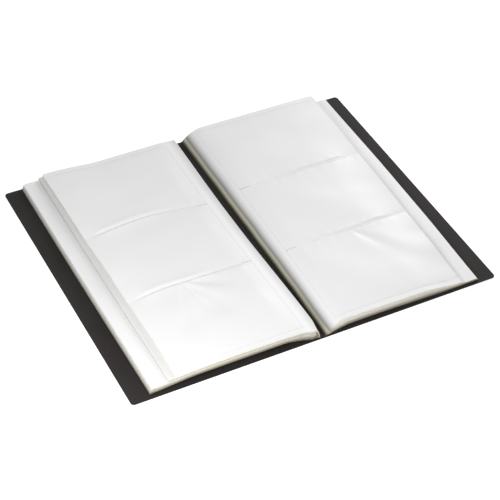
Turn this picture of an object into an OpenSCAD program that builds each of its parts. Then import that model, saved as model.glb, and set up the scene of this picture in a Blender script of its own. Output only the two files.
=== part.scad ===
// Pocket album, open flat: a scored cover of front panel, spine and back panel, and two blocks
// of clear pocket leaves. X runs across the open album with the back cover at +X, Y runs along
// the spine and Z is up. The origin is on the underside of the spine, in its middle.
// The front half is the mirror image of the back half, so each piece is drawn for the back.

/* [Pockets] */
// Number of pockets stacked along the height of a leaf
pocket_rows = 3; // [1:1:4]
// Height of one pocket, from weld line to weld line
pocket_pitch = 110; // [60:1:130]
// Depth of a pocket, from its open mouth to the inner weld
pocket_depth = 151; // [80:1:220]
// Gap between the two films of the leaf that lies on top
pocket_gap = 0.4; // [0.2:0.1:1]
// Width of a weld line
weld_w = 2; // [1:0.5:4]
// Distance from a leaf's near and far edges to its outermost weld lines
weld_margin = 8; // [3:1:10]
// Distance from the pocket's mouth to the end of the cross welds
weld_inset = 10; // [0:1:30]

/* [Leaves] */
// Thickness of one film
film_t = 0.1; // [0.06:0.01:0.12]
// Width of leaf between the spine and the inner weld
bind_margin = 24; // [14:1:30]
// Number of leaves in the packet next to each cover panel
lower_leaves = 12; // [2:1:12]
// Number of leaves in the packet on top of it
upper_leaves = 8; // [2:1:8]
// Distance from the middle of the spine to the lower packet's first leaf
lower_x = 19.6; // [14:0.1:20.5]
// Distance from the middle of the spine to the upper packet's first leaf
upper_x = 6.8; // [4.2:0.1:7.6]
// Spacing of the leaves where they stand on the spine
leaf_pitch_x = 0.28; // [0.26:0.02:0.46]
// Spacing of the leaves where they lie on each other
leaf_pitch_z = 0.66; // [0.3:0.01:0.8]
// Extra height between the two packets
packet_gap = 0.5; // [0.2:0.1:1]

/* [Cover] */
// Thickness of the cover sheet
cover_t = 1; // [0.6:0.1:1]
// Width of the spine, from crease to crease
spine_w = 44; // [44:1:60]
// How far the cover stands past the leaves at the near and far edges
end_overhang = 2; // [2:1:12]
// How far a cover panel is wider than a leaf
side_overhang = 18; // [6:1:30]
// Radius of the cover's four outer corners
corner_r = 4; // [1:0.5:12]

/* [Hidden] */
leaf_t = 2 * film_t;
leaf_count = lower_leaves + upper_leaves;
leaf_h = pocket_rows * pocket_pitch + 2 * weld_margin;
leaf_l = pocket_depth + bind_margin;
cover_l = leaf_h + 2 * end_overhang;
panel_w = leaf_l + side_overhang;
crease_x = spine_w / 2;
crease_clearance = 0.05;   // half of the slit at the bottom of a crease
fold_clearance = 0.05;     // between a leaf's standing margin and its flap
fold_share = PI / 2 - 1;   // share of its height that a leaf loses in length where its fold is round
first_gap = 0.3;           // between the cover and the lowest leaf

cover_colour = [0.19, 0.18, 0.17];
film_colour = [0.88, 0.89, 0.88, 0.8];
weld_colour = [0.95, 0.95, 0.94];
binding_colour = [0.75, 0.75, 0.70, 0.9];

// Leaves are numbered from 1, next to the cover, to leaf_count, on top.
function leaf_x(k) = (k > lower_leaves ? upper_x + lower_leaves * leaf_pitch_x : lower_x)
    - (k - 1) * leaf_pitch_x;
function leaf_z(k) = cover_t + first_gap + (k - 1) * leaf_pitch_z
    + (k > lower_leaves ? packet_gap : 0);
// All leaves are cut to one length, and one that lies higher has used more of it in its fold.
function flap_l(k) = leaf_l - fold_share * (leaf_z(k) - cover_t);

SIDES = ["front", "back"];
TOP_PARTS = ["rear_film", "front_film", "cross_welds", "inner_weld"];
function leaf_name(side, k) = str(side, "_leaf_", k < 10 ? "0" : "", k);
function top_name(side, part) = str(side, "_top_leaf_", part);

module on(side) {
    if (side == "front") mirror([1, 0, 0]) children();
    else children();
}

// Extrudes an outline drawn across the album along the whole length of the cover.
module along_spine(length) {
    rotate([90, 0, 0]) linear_extrude(length, center = true) children();
}

// Plan of a cover panel, from the middle of the spine outwards, with its outer corners rounded.
module panel_plan() {
    outer_x = crease_x + panel_w;
    translate([0, -cover_l / 2]) square([outer_x - corner_r, cover_l]);
    translate([0, corner_r - cover_l / 2]) square([outer_x, cover_l - 2 * corner_r]);
    for (end = [-1, 1])
        translate([outer_x - corner_r, end * (cover_l / 2 - corner_r)])
            circle(corner_r, $fn = 64);
}

// The scored crease is a V at 45 degrees on the inside, so panel and spine meet at a right angle.
module cover_panel(side) {
    inner_x = crease_x + crease_clearance;
    outer_x = crease_x + panel_w;
    color(cover_colour) on(side) intersection() {
        linear_extrude(cover_t) panel_plan();
        along_spine(cover_l)
            polygon([[inner_x, 0], [outer_x, 0], [outer_x, cover_t], [inner_x + cover_t, cover_t]]);
    }
}

module spine() {
    edge_x = crease_x - crease_clearance;
    color(cover_colour) along_spine(cover_l)
        polygon([[-edge_x, 0], [edge_x, 0], [edge_x - cover_t, cover_t], [cover_t - edge_x, cover_t]]);
}

// The margins of one side's leaves, which stand on the spine where the leaves are welded to it.
module binding(side) {
    color(binding_colour) on(side)
        for (k = [1 : leaf_count])
            translate([leaf_x(k) - leaf_t, -leaf_h / 2, cover_t])
                cube([leaf_t, leaf_h, leaf_z(k) - cover_t - fold_clearance]);
}

// A leaf that lies closed in its packet: two films, pressed flat.
module leaf(side, k) {
    color(film_colour) on(side)
        translate([leaf_x(k), -leaf_h / 2, leaf_z(k)]) cube([flap_l(k), leaf_h, leaf_t]);
}

// One film of the top leaf, lifted off the height where that leaf starts.
module top_film(side, lift) {
    color(film_colour) on(side)
        translate([leaf_x(leaf_count), -leaf_h / 2, leaf_z(leaf_count) + lift])
            cube([flap_l(leaf_count), leaf_h, film_t]);
}

// The weld lines across the top leaf, between its two films. They part the pockets.
module top_cross_welds(side) {
    start_x = leaf_x(leaf_count) + flap_l(leaf_count) - pocket_depth + weld_w / 2;
    end_x = leaf_x(leaf_count) + flap_l(leaf_count) - weld_inset;
    color(weld_colour) on(side)
        for (row = [0 : pocket_rows])
            translate([start_x, (row - pocket_rows / 2) * pocket_pitch - weld_w / 2,
                       leaf_z(leaf_count) + film_t])
                cube([end_x - start_x, weld_w, pocket_gap]);
}

// The weld line along the spine side of the top leaf, which closes the pockets.
module top_inner_weld(side) {
    middle_x = leaf_x(leaf_count) + flap_l(leaf_count) - pocket_depth;
    weld_h = pocket_rows * pocket_pitch + weld_w;
    color(weld_colour) on(side)
        translate([middle_x - weld_w / 2, -weld_h / 2, leaf_z(leaf_count) + film_t])
            cube([weld_w, weld_h, pocket_gap]);
}

spine();
for (side = SIDES) {
    cover_panel(side);
    binding(side);
    for (k = [1 : leaf_count - 1])
        leaf(side, k);
    top_film(side, 0);
    top_film(side, film_t + pocket_gap);
    top_cross_welds(side);
    top_inner_weld(side);
}
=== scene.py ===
"""A pocket album for cards, lying open: a scored black cover and two blocks of clear pocket leaves."""

import math

import bpy
from mathutils import Matrix, Vector, noise


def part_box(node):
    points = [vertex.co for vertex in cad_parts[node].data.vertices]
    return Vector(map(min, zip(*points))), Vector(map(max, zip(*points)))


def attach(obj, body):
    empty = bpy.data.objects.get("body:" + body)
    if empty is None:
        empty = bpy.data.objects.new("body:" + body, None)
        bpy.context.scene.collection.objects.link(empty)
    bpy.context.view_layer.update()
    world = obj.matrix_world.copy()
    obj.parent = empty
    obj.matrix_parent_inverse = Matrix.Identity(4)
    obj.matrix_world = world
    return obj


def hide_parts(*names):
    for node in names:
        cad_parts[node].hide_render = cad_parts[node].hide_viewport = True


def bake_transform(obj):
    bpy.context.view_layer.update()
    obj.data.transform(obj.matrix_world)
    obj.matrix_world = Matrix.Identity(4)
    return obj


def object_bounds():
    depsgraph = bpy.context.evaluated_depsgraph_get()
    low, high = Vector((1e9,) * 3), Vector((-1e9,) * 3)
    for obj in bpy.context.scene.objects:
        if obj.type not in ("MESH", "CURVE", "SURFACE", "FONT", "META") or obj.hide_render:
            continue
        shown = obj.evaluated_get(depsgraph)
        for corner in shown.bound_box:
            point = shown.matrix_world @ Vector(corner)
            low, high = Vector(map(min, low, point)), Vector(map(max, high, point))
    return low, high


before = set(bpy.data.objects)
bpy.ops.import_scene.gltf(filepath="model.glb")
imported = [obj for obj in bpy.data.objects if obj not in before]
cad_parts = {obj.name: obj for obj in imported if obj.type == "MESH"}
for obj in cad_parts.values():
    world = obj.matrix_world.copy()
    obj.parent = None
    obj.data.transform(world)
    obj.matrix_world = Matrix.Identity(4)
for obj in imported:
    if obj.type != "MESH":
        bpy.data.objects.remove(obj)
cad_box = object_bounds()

MM = 0.001


# ---- Camera, light and table -------------------------------------------------------------------
# The album lies on a white lit table, as for a catalogue picture, seen from above its near left
# corner through a long lens. A soft box hangs over its near left and a weaker one far behind.

def colour(hex_value):
    """An sRGB hex colour, such as 0x2f2c2b, as linear red, green, blue and alpha."""
    channels = [(hex_value >> shift & 255) / 255 for shift in (16, 8, 0)]
    return [c / 12.92 if c <= 0.04045 else ((c + 0.055) / 1.055) ** 2.4 for c in channels] + [1]


def add_node(tree, kind, settings=None, inputs=None):
    """Adds a node, sets its properties, and fills its inputs with values or other nodes' outputs."""
    node = tree.nodes.new(kind)
    for name, value in (settings or {}).items():
        setattr(node, name, value)
    for name, value in (inputs or {}).items():
        if isinstance(value, bpy.types.NodeSocket):
            tree.links.new(value, node.inputs[name])
        else:
            node.inputs[name].default_value = value
    return node


def new_material(name):
    """A material with an empty node tree but for its output. Returns the material, tree and output."""
    material = bpy.data.materials.new(name)
    material.use_nodes = True
    material.node_tree.nodes.clear()
    return material, material.node_tree, add_node(material.node_tree, "ShaderNodeOutputMaterial")


view_yaw, view_pitch, view_roll = math.radians(29.12), math.radians(42.92), math.radians(-2.70)
view_distance = 1.749
looked_at = Vector((-0.0059, -0.0236, 0))

turn = (Matrix.Rotation(-view_yaw, 4, "Z") @ Matrix.Rotation(math.pi / 2 - view_pitch, 4, "X")
        @ Matrix.Rotation(-view_roll, 4, "Z"))
bpy.ops.object.camera_add(location=looked_at + turn @ Vector((0, 0, view_distance)),
                          rotation=turn.to_euler())
camera = bpy.context.object
camera.data.lens = 115.2
camera.data.sensor_width = 36
bpy.context.scene.camera = camera

world = bpy.data.worlds.new("white studio")
world.use_nodes = True
world.node_tree.nodes["Background"].inputs["Color"].default_value = colour(0xf7f7f8)
world.node_tree.nodes["Background"].inputs["Strength"].default_value = 0.46
bpy.context.scene.world = world
bpy.context.scene.view_settings.view_transform = "Standard"


def soft_light(name, place, size, power):
    """A square soft box that hangs at a place and faces the album."""
    bpy.ops.object.light_add(type="AREA", location=place)
    light = bpy.context.object
    light.name = name
    light.data.size = size
    light.data.energy = power
    light.rotation_euler = (-Vector(place)).to_track_quat("-Z", "Y").to_euler()


soft_light("near_light", (-0.44, -0.45, 0.38), 0.35, 3.5)
soft_light("far_light", (0.90, 0.78, 0.60), 0.5, 7.6)

bpy.ops.mesh.primitive_plane_add(size=12, location=(0, 0, -0.0002))
table = bpy.context.object
table.name = "table"
table_white, tree, output = new_material("white acrylic light table")
table_shader = add_node(tree, "ShaderNodeBsdfPrincipled", inputs={
    "Base Color": colour(0xfafafa), "Roughness": 0.9,
    "Emission Color": colour(0xffffff), "Emission Strength": 0.5})
tree.links.new(table_shader.outputs["BSDF"], output.inputs["Surface"])
table.data.materials.append(table_white)


# ---- Cover -------------------------------------------------------------------------------------
# One sheet of black polypropylene, a millimetre thick, rolled with a fine sand emboss and scored
# twice for the spine. The three panels are the model's own solids with their moulded finish.

emboss_size = 1.2 * MM          # the real emboss is nearer 0.4 mm; drawn coarser so that it shows

# The sheet is black all through. Its emboss breaks the gloss of the bare plastic to a dull sheen.
cover_black, tree, output = new_material("embossed black polypropylene")
place = add_node(tree, "ShaderNodeTexCoord").outputs["Object"]
grain = add_node(tree, "ShaderNodeTexNoise", inputs={
    "Vector": place, "Scale": 1 / emboss_size, "Detail": 3.0, "Roughness": 0.6})
mottle = add_node(tree, "ShaderNodeTexNoise", inputs={
    "Vector": place, "Scale": 14.0, "Detail": 2.0})    # soft patches of about 70 mm
unevenness = add_node(tree, "ShaderNodeMath", {"operation": "MULTIPLY_ADD"}, {
    0: grain.outputs["Fac"], 1: 2.4, 2: mottle.outputs["Fac"]})
speckle = add_node(tree, "ShaderNodeMapRange", inputs={
    "Value": unevenness.outputs["Value"], "From Min": 1.2, "From Max": 2.2})
tint = add_node(tree, "ShaderNodeMix", {"data_type": "RGBA"}, {
    "Factor": speckle.outputs["Result"], 6: colour(0x2b2827), 7: colour(0x383534)})
gloss = add_node(tree, "ShaderNodeMapRange", inputs={
    "Value": grain.outputs["Fac"], "To Min": 0.52, "To Max": 0.72})
relief = add_node(tree, "ShaderNodeBump", inputs={
    "Height": grain.outputs["Fac"], "Strength": 0.9, "Distance": 0.2 * MM})
shader = add_node(tree, "ShaderNodeBsdfPrincipled", inputs={
    "Base Color": tint.outputs[2], "Roughness": gloss.outputs["Result"],
    "Normal": relief.outputs["Normal"], "IOR": 1.49, "Specular IOR Level": 0.1})
tree.links.new(shader.outputs["BSDF"], output.inputs["Surface"])
for panel in ("spine", "front_cover", "back_cover"):
    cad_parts[panel].data.materials.clear()
    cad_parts[panel].data.materials.append(cover_black)

# The score leaves a thin web of the same sheet, on which the panel turns. It fills the crease's
# bottom.
web_width, web_thick, web_underside = 0.9 * MM, 0.1 * MM, 0.05 * MM
web_length = cad_box[1].y - cad_box[0].y - 0.2 * MM
crease_x, half_slit = 22 * MM, 0.1 * MM
for side, out in (("front", -1), ("back", 1)):
    bpy.ops.object.select_all(action="DESELECT")
    bpy.ops.mesh.primitive_grid_add(x_subdivisions=4, y_subdivisions=1, size=1)
    web = bpy.context.object
    web.name = f"{side}_crease_web"
    for vertex in web.data.vertices:
        vertex.co = (out * crease_x + vertex.co.x * web_width, vertex.co.y * web_length, web_underside)
    thick = web.modifiers.new("thickness", "SOLIDIFY")
    thick.thickness = web_thick
    thick.offset = 1
    bpy.ops.object.modifier_apply(modifier=thick.name)
    web.data.materials.append(cover_black)
    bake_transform(web)


# ---- Inner leaves ------------------------------------------------------------------------------
# Each leaf is two clear polypropylene films, welded together. All leaves of a side stand close
# together on the spine, turn over in a soft fold and lie on each other in two stepped packets.

leaf_count, lower_count = 20, 12
long_count = 16                 # on the front, the four leaves over these stop short of them
sign = {"front": -1, "back": 1}
cover_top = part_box("spine")[1].z
leaf_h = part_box("front_leaf_01")[1].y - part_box("front_leaf_01")[0].y
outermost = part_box("back_leaf_01")[1].x
leaf_shift = 1.5 * MM           # the leaves lie this much towards the far end of the cover


def smooth(t):
    """0 below 0, 1 above 1, and an even S between them."""
    t = min(max(t, 0), 1)
    return t * t * (3 - 2 * t)


def blend_of(a, b, share):
    """The value that is at a share of the way from a to b."""
    return a + (b - a) * share


def leaf_box(side, number):
    """Where a leaf lies in the model, as (distance of its fold from the middle of the spine, distance
    of its outer edge, height of its underside)."""
    node = f"{side}_leaf_{number:02d}" if number < leaf_count else f"{side}_top_leaf_rear_film"
    low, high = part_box(node)
    near, far = sorted((abs(low.x), abs(high.x)))
    return near, far, low.z


boxes = {(side, number): leaf_box(side, number) for side in sign for number in range(1, leaf_count + 1)}
top_z = boxes["front", leaf_count][2]
upper_fold = boxes["front", lower_count + 1][0]
fold_pitch = boxes["front", 1][0] - boxes["front", 2][0]


def block_top(side, x, y):
    """Height of the top leaf over the table, x out from the middle of the spine."""
    near_end = 0.5 - y / leaf_h         # 0 at the album's far edge and 1 at its near edge
    # The next heights are in mm, along the block's far and near edges.
    if side == "front":
        at_far = 9.0 + 4.5 * smooth((x - 0.095) / 0.06)
        at_near = 14.2 + x / 0.17 + 2.2 * math.sin(math.pi * min(x / 0.17, 1))
    else:
        at_far = 15.0
        at_near = 13.8 - 1.2 * smooth((x - 0.045) / 0.095)
    height = blend_of(at_far, at_near, smooth(near_end)) * MM
    if side == "back":
        height -= (0.6 + 5.2 * max(near_end, 0) ** 1.5) * MM * smooth((x - 0.122) / 0.052)
    return height


def block_lift(side, x, y):
    """How far the lowest leaf is off the cover. The blocks spring up at their near ends."""
    near_end = 0.5 - y / leaf_h
    if side == "front":
        lift = 6.3 * smooth((x - 0.012) / 0.034) * (1 - 0.7 * smooth((x - 0.14) / 0.06))
    else:
        lift = 2.2 * smooth((x - 0.020) / 0.015) * (1 - smooth((x - 0.06) / 0.11))
    return lift * MM * max(near_end, 0) ** 1.6


def fold_reach(side, y):
    """How far out from its foot a leaf has come to its full height. The front block folds sharply,
    but for its near end, where it bulges."""
    if side == "back":
        return 27 * MM
    return (2.2 + 3.4 * smooth((-0.156 - y) / 0.019)) * MM


def stripe_place(side, run, y):
    """Where a point is in the stripes by its leaf's foot: 0 at the foot and about 1 on the open page.
    At the foot the stripes are painted dark. On the front block the page beside the sharp fold gets a
    painted soft shade, and the fold, left white, reads as a painted highlight."""
    place = run / (0.75 * fold_reach(side, y))
    if side == "back" or place < 1.2:
        return place
    return 0.47 + 0.35 * smooth(run / (20 * MM))


def rise(side, run, y):
    """Share of its height that a leaf has reached, run out from where it stands on the spine."""
    return 1 - (1 - min(max(run / fold_reach(side, y), 0), 1)) ** 2.2


def fold_place(side, number):
    """Distance from the spine's middle at which a leaf stands. They all stand close together there."""
    if number > lower_count:
        return boxes[side, number][0]
    return upper_fold + (lower_count + 1 - number) * fold_pitch


def edge_place(side, number):
    """Distance of a leaf's outer edge from the spine's middle: the lower packet's edges lie nearly
    flush. The back's upper ones step back from leaf to leaf, and the front's in two steps."""
    edge = boxes[side, number][1]
    if number <= lower_count:
        return blend_of(outermost, edge, 0.3)
    if side == "back":
        return edge
    return (167.5 if number > long_count else 175.5) * MM - 0.1 * MM * number


def drift(side, x, y):
    """How far the leaves have slid outwards: the blocks lie a little askew on the cover."""
    far_end = 0.5 + y / leaf_h
    if side == "front":
        inwards = 3.4 - 2.8 * smooth((y + 0.165) / 0.16) + 2.2 * smooth((y - 0.02) / 0.16)
        return -inwards * (1 - 0.85 * smooth(x / 0.12)) * MM
    return (0.5 - 1.4 * smooth((-0.06 - y) / 0.11) + 1.4 * smooth(x / 0.12)
            + 3.2 * far_end * x / 0.19) * MM


def layer_share(side, number):
    """Share of its block's thickness that lies under a leaf."""
    return (boxes[side, number][2] - cover_top) / (top_z - cover_top)


def haze_and_shade_share(side, number):
    """Share of the layers' haze that a leaf shows, which sets how dark it is drawn. The front's upper
    leaves that reach past the top four get less, as painted shade on the strip beside the top leaves'
    edge.
    """
    if side == "front" and lower_count < number <= long_count:
        return 0.43
    return layer_share(side, number)


def leaf_point(side, number, x, y, extra=0.0):
    """Where the point of a leaf comes to lie that is x out from the spine's middle and y along it.
    Extra lifts it off the leaf."""
    share = layer_share(side, number)
    dip = 0
    if side == "front":
        above = max(number - lower_count, 0) / (leaf_count - lower_count)
        dip = 1.5 * MM * above * (1 - smooth((x - 0.007) / 0.020))
        share **= 1 + 0.35 * smooth(0.5 + y / leaf_h)
    elif number <= lower_count:
        share *= 1 - 0.22 * smooth(0.5 + y / leaf_h) * smooth((x - 0.03) / 0.05)
        share *= 1 - 0.45 * smooth((x - 0.13) / 0.05) * smooth((y - 0.02) / 0.15)
    lift = block_lift(side, x, y)
    full = block_top(side, x, y) - cover_top - lift
    lag = 0
    if side == "back":
        lag = 0.4 * MM * (leaf_count - number) if number > lower_count else 2 * MM
    climb = rise(side, x - fold_place(side, number) - lag, y)
    wave = 0.35 * MM * noise.noise(Vector((x * 14, y * 9, 3.1 * sign[side])))
    height = cover_top + 0.25 * MM + lift * climb ** 0.5 + (full * share + wave - dip) * climb
    lobe = 1 + 0.011 * (1 - smooth((x - 0.010) / 0.016)) * (y < 0)
    shift = leaf_shift
    if side == "back" and number <= lower_count:
        shift -= 2.2 * MM * smooth(0.5 + y / leaf_h)
    slid = drift(side, x, y)
    if side == "front" and number > long_count:
        slid += 3.5 * MM * smooth(0.5 + y / leaf_h) * smooth(x / 0.17)
    return Vector((sign[side] * (x + slid), y * lobe + shift, height + extra * climb))


def film_material(name, pad_stops, foot_shade_share, roughness, ripple_depth):
    """Polypropylene film that takes its colour from how many layers lie under it: the black cover
    shows through a few, and a thick pad of them is milky white. That darkening also stands as painted
    shade, and some leaves get a lower value for painted shade alone. By the leaf's foot the film is
    painted dark: partly the folds below showing through as stripes, partly painted shade in the gutter."""
    material, tree, output = new_material(name)
    place = add_node(tree, "ShaderNodeTexCoord").outputs["Object"]
    # The layer value darkens the film: partly the black cover showing through, partly painted shade.
    pad = add_node(tree, "ShaderNodeAttribute", {"attribute_name": "layer_haze_and_shade"})
    layers = add_node(tree, "ShaderNodeValToRGB", inputs={"Fac": pad.outputs["Fac"]})
    waver = add_node(tree, "ShaderNodeTexNoise", inputs={
        "Vector": place, "Scale": 25.0, "Detail": 1.0})     # the stripes waver every 40 mm
    run = add_node(tree, "ShaderNodeAttribute", {"attribute_name": "from_foot"})
    run = add_node(tree, "ShaderNodeMath", {"operation": "MULTIPLY_ADD"}, {
        0: waver.outputs["Fac"], 1: 0.05, 2: run.outputs["Fac"]})
    # Painted shade by the leaf's foot in the gutter, and a painted soft shade on the front's page beside
    # its fold.
    foot = add_node(tree, "ShaderNodeValToRGB", inputs={"Fac": run.outputs["Value"]})
    foot_shade_stops = ((0.02, 0x24221a), (0.08, 0x48442f), (0.13, 0x918e78), (0.19, 0xc2c0ae),
                  (0.25, 0xb9b7aa), (0.29, 0x96948d), (0.34, 0xa5a4a0), (0.43, 0xd0d0ce),
                  (0.54, 0xeeeeed), (0.70, 0xffffff))
    for ramp, stops in ((layers.color_ramp, pad_stops), (foot.color_ramp, foot_shade_stops)):
        ramp.elements[0].position, ramp.elements[0].color = stops[0][0], colour(stops[0][1])
        ramp.elements[1].position, ramp.elements[1].color = stops[-1][0], colour(stops[-1][1])
        for position, shade in stops[1:-1]:
            ramp.elements.new(position).color = colour(shade)
    tint = add_node(tree, "ShaderNodeMix", {"data_type": "RGBA", "blend_type": "MULTIPLY"}, {
        "Factor": foot_shade_share, 6: layers.outputs["Color"], 7: foot.outputs["Color"]})
    ripple = add_node(tree, "ShaderNodeTexNoise", inputs={
        "Vector": place, "Scale": 45.0, "Detail": 2.0, "Roughness": 0.4})   # 22 mm from crest to crest
    relief = add_node(tree, "ShaderNodeBump", inputs={
        "Height": ripple.outputs["Fac"], "Strength": 0.3, "Distance": ripple_depth})
    shader = add_node(tree, "ShaderNodeBsdfPrincipled", inputs={
        "Base Color": tint.outputs[2], "Roughness": roughness, "Normal": relief.outputs["Normal"],
        "IOR": 1.49, "Specular IOR Level": 0.38})
    tree.links.new(shader.outputs["BSDF"], output.inputs["Surface"])
    return material


# Chill-rolled film: clear, with a satin gloss. Its cut edges look olive, since light comes out
# there. Their colour darkens down the stack to nearly black at the lowest leaves: partly the black
# cover showing through, partly painted shade under the lifted blocks.
film_clear = film_material("clear polypropylene film",
                           ((0, 0x8b8877), (0.2, 0xc9c8c0), (0.5, 0xeeeeee)), 1.0, 0.40, 0.5 * MM)
film_edge = film_material("cut film edge",
                          ((0, 0x2a2212), (0.25, 0x75643c), (0.6, 0xc4b993), (1, 0xe8e1ca)),
                          0.35, 0.5, 0.2 * MM)


def film_sheet(name, side, places_x, places_y, thickness, shape, share):
    """A sheet of film: a grid with a row at each place, whose points go where shape(x, y) says.
    Share sets how dark the film is drawn: how much of the block lies under it, less on some leaves as
    painted shade."""
    columns, rows = len(places_x) - 1, len(places_y) - 1
    bpy.ops.mesh.primitive_grid_add(x_subdivisions=columns, y_subdivisions=rows, size=1)
    sheet = bpy.context.object
    sheet.name = name
    stripes = []
    for vertex in sheet.data.vertices:
        x = places_x[round((vertex.co.x + 0.5) * columns)]
        y = places_y[round((vertex.co.y + 0.5) * rows)]
        stripes.append(stripe_place(side, x - places_x[0], y))
        vertex.co = shape(x, y)
    if sheet.data.polygons[len(sheet.data.polygons) // 2].normal.z < 0:
        sheet.data.flip_normals()
    pad = sheet.data.attributes.new("layer_haze_and_shade", "FLOAT", "POINT")
    foot = sheet.data.attributes.new("from_foot", "FLOAT", "POINT")
    for i, place in enumerate(stripes):
        pad.data[i].value = share
        foot.data[i].value = place
    sheet.data.materials.append(film_clear)
    sheet.data.materials.append(film_edge)
    solid = sheet.modifiers.new("thickness", "SOLIDIFY")
    solid.thickness = thickness
    solid.offset = 1
    solid.material_offset_rim = 1
    bpy.ops.object.modifier_apply(modifier=solid.name)
    bpy.ops.object.shade_smooth_by_angle(angle=math.radians(40))
    return sheet


def out_places(side, number, steps):
    """Places along a leaf from the spine out, close together at the fold."""
    start, stop = fold_place(side, number), edge_place(side, number)
    return [blend_of(start, stop, (i / steps) ** 1.8) for i in range(steps + 1)]


def bend_at_fold(piece):
    """Bakes a leaf's placement into its mesh."""
    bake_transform(piece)


film_thick = 0.1 * MM
row_steps, out_steps = 30, 40
even_rows = [leaf_h * (i / row_steps - 0.5) for i in range(row_steps + 1)]
for side in ("front", "back"):
    for number in range(1, leaf_count):
        leaf = film_sheet(f"{side}_leaf_{number:02d}_film", side,
                          out_places(side, number, out_steps), even_rows, 2 * film_thick,
                          lambda x, y: leaf_point(side, number, x, y), haze_and_shade_share(side, number))
        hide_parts(f"{side}_leaf_{number:02d}")
        bend_at_fold(leaf)


# ---- Top leaves --------------------------------------------------------------------------------
# The two leaves on view. Dashed welds part each into three pockets, and between the welds the
# front film stands a little off the rear one. The pockets are open at the outer edge.

pocket_rows = 3
cross_low, cross_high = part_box("back_top_leaf_cross_welds")
pocket_pitch = (cross_high.y - cross_low.y) / pocket_rows
inner_weld_x = sum(c.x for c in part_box("back_top_leaf_inner_weld")) / 2
mouth_x = edge_place("front", leaf_count)
puff_height = {"front": 1.6 * MM, "back": 1.5 * MM}
ridge_height = {"front": 3.2 * MM, "back": 1.2 * MM}
least_gap = 0.05 * MM           # air between the films where they are welded
front_film_rise = 0.12 * MM     # from the rear film's underside to the front film's, less the air
hanging_point = {"front": 0.104, "back": 0.096}     # where the nearest weld pulls on the film
hanging_y = -0.052


def weld_line(side, row, x):
    """Where a cross weld runs. The welds of the front leaf bow with the film that they pull on."""
    straight = (row - pocket_rows / 2) * pocket_pitch
    if side == "front" and row == 2:
        return straight - 4 * MM + 10 * MM * math.sin(math.pi * smooth((x - 0.005) / 0.17))
    if side == "front" and row == 1:
        return straight + 2 * MM - 5 * MM * smooth((x - 0.12) / 0.05)
    if side == "back" and row == 1:
        return straight + 2.5 * MM * smooth((x - 0.11) / 0.05) + 0.5 * MM * math.sin(x / (9 * MM))
    return straight + 0.6 * MM * math.sin(x / (7 * MM)) * (0 < row < pocket_rows)


def pull_folds(side, x, y):
    """Shallow folds that fan out towards the near edge from where the film hangs on its nearest weld."""
    across, down = (hanging_point[side] - x) * -sign[side], hanging_y - y
    if down <= 0:
        return 0
    angle, reach = math.atan2(down, across), math.hypot(across, down)
    fade = smooth(reach / 0.02) * (1 - smooth((reach - 0.055) / 0.05)) * smooth(down / 0.006)
    if side == "front":
        return 0.75 * MM * fade * math.sin(9 * angle + 0.8) * smooth((2.3 - angle) / 0.6)
    return -0.9 * MM * fade * math.exp(-((angle - 1.0) / 0.19) ** 2)


def puff(side, x, y):
    """How far the front film stands off the rear one."""
    lines = [weld_line(side, row, x) for row in range(pocket_rows + 1)]
    if not lines[0] < y < lines[-1] or x < inner_weld_x:
        return least_gap
    row = max(r for r in range(pocket_rows) if y >= lines[r])
    share = (y - lines[row]) / (lines[row + 1] - lines[row])
    from_weld = min(y - lines[row], lines[row + 1] - y)
    along = smooth((x - inner_weld_x) / (18 * MM))
    bulge = puff_height[side] * math.sin(math.pi * share) ** 0.6 * along
    near_line = math.exp(-from_weld / (7 * MM)) * smooth(from_weld / (4 * MM))
    outer = smooth((x - 0.05) / 0.05) * (1 - smooth((x - mouth_x + 0.028) / 0.02))
    ridge = ridge_height[side] * near_line * outer * (0 < row + round(share) < pocket_rows)
    shiver = 3 * noise.noise(Vector((x * 50, y * 50, row)))
    pucker = 0.16 * MM * near_line * math.sin(x / (2.6 * MM) + shiver)
    crease = 1.1 * MM * noise.noise(Vector((x * 16 + y * 14, y * 24, 7 + row + sign[side])))
    loose = crease * math.sin(math.pi * share) + pull_folds(side, x, y)
    return least_gap + max(bulge + (pucker + ridge + loose) * along, 0)


def dense_rows():
    """Places along the spine for a top leaf's rows, close together at the welds."""
    per_pocket, edge_steps = 62, 5
    first = -pocket_rows / 2 * pocket_pitch
    rows = [blend_of(-leaf_h / 2, first, i / edge_steps) for i in range(edge_steps)]
    for pocket in range(pocket_rows):
        for i in range(per_pocket):
            t = i / per_pocket
            share = 0.45 * t + 0.55 * (1 - math.cos(math.pi * t)) / 2
            rows.append(first + (pocket + share) * pocket_pitch)
    return rows + [blend_of(-first, leaf_h / 2, i / edge_steps) for i in range(edge_steps + 1)]


def front_film_point(side, x, y, over):
    """A point that lies over the rear film's underside by a distance and the pocket's air."""
    return leaf_point(side, leaf_count, x, y, over + puff(side, x, y))


top_rows, top_out_steps = dense_rows(), 120
for side in ("front", "back"):
    places = out_places(side, leaf_count, top_out_steps)
    rear = film_sheet(f"{side}_top_leaf_rear", side, places, top_rows, film_thick,
                      lambda x, y: leaf_point(side, leaf_count, x, y), 1)
    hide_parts(f"{side}_top_leaf_rear_film", f"{side}_binding")
    front = film_sheet(f"{side}_top_leaf_front", side, places, top_rows, film_thick,
                       lambda x, y: front_film_point(side, x, y, front_film_rise), 1)
    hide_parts(f"{side}_top_leaf_front_film")
    for film in (rear, front):
        bend_at_fold(film)


# ---- Welds -------------------------------------------------------------------------------------
# The pockets are parted by hot-bar welds, made as rows of short dashes that fuse the two films
# and leave them dull and slightly grey.

dash_length, dash_thick, dash_pitch = 1.5 * MM, 0.12 * MM, 3.0 * MM
weld_inset = 10 * MM            # the cross welds stop this far from the pocket's mouth
dash_width, thin_width = 1.2 * MM, 0.22 * MM    # between pockets, and round the outside
dash_rise = 0.24 * MM           # lays the dashes just on top of the front film
aim = 1 * MM                    # a dash points to the place this much further along its line

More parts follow.
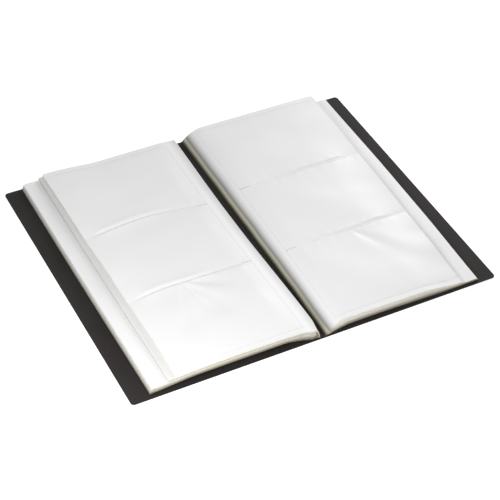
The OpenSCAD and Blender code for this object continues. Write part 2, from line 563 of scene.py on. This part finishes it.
# Melted and pressed film: its fused skin is dull, and fine bubbles make it grey.
weld_grey, tree, output = new_material("heat welded film")
place = add_node(tree, "ShaderNodeTexCoord").outputs["Object"]
bubbles = add_node(tree, "ShaderNodeTexNoise", inputs={
    "Vector": place, "Scale": 700.0})       # about 1.4 mm, coarser than the real ones so that it shows
tint = add_node(tree, "ShaderNodeMix", {"data_type": "RGBA"}, {
    "Factor": bubbles.outputs["Fac"], 6: colour(0x9c9c99), 7: colour(0xc9c9c6)})
shader = add_node(tree, "ShaderNodeBsdfPrincipled", inputs={
    "Base Color": tint.outputs[2], "Roughness": 0.5, "IOR": 1.49})
tree.links.new(shader.outputs["BSDF"], output.inputs["Surface"])


def weld_dashes(name, side, lines):
    """One piece of weld dashes. Each line is a dash's place, the point it runs towards and its
    width."""
    bpy.ops.object.select_all(action="DESELECT")
    bpy.ops.mesh.primitive_cube_add(size=1)
    piece = bpy.context.object
    piece.name = name
    corners = [v.co.copy() for v in piece.data.vertices]
    faces = [tuple(p.vertices) for p in piece.data.polygons]
    points, polygons = [], []
    for here, there, width in lines:
        along = (there - here).normalized()
        across = Vector((0, 0, 1)).cross(along).normalized()
        up = along.cross(across)
        first = len(points)
        points += [here + along * c.x * dash_length + across * c.y * width + up * c.z * dash_thick
                   for c in corners]
        polygons += [tuple(first + i for i in face) for face in faces]
    piece.data.clear_geometry()
    piece.data.from_pydata(points, [], polygons)
    piece.data.materials.append(weld_grey)
    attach(piece, f"{side}_top_leaf")
    return piece


for side in ("front", "back"):
    start, stop = inner_weld_x + 1 * MM, edge_place(side, leaf_count) - weld_inset
    lines = []
    for row in range(pocket_rows + 1):
        width = dash_width if 0 < row < pocket_rows else thin_width
        for i in range(int((stop - start) / dash_pitch)):
            x = start + i * dash_pitch
            lines.append((front_film_point(side, x, weld_line(side, row, x), dash_rise),
                          front_film_point(side, x + aim, weld_line(side, row, x + aim), dash_rise),
                          width))
    cross = weld_dashes(f"{side}_cross_weld_dashes", side, lines)
    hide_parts(f"{side}_top_leaf_cross_welds")
    lines = []
    for i in range(int(pocket_rows * pocket_pitch / dash_pitch)):
        y = -pocket_rows * pocket_pitch / 2 + i * dash_pitch
        lines.append((front_film_point(side, inner_weld_x, y, dash_rise),
                      front_film_point(side, inner_weld_x, y + aim, dash_rise), thin_width))
    inner = weld_dashes(f"{side}_inner_weld_dashes", side, lines)
    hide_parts(f"{side}_top_leaf_inner_weld")
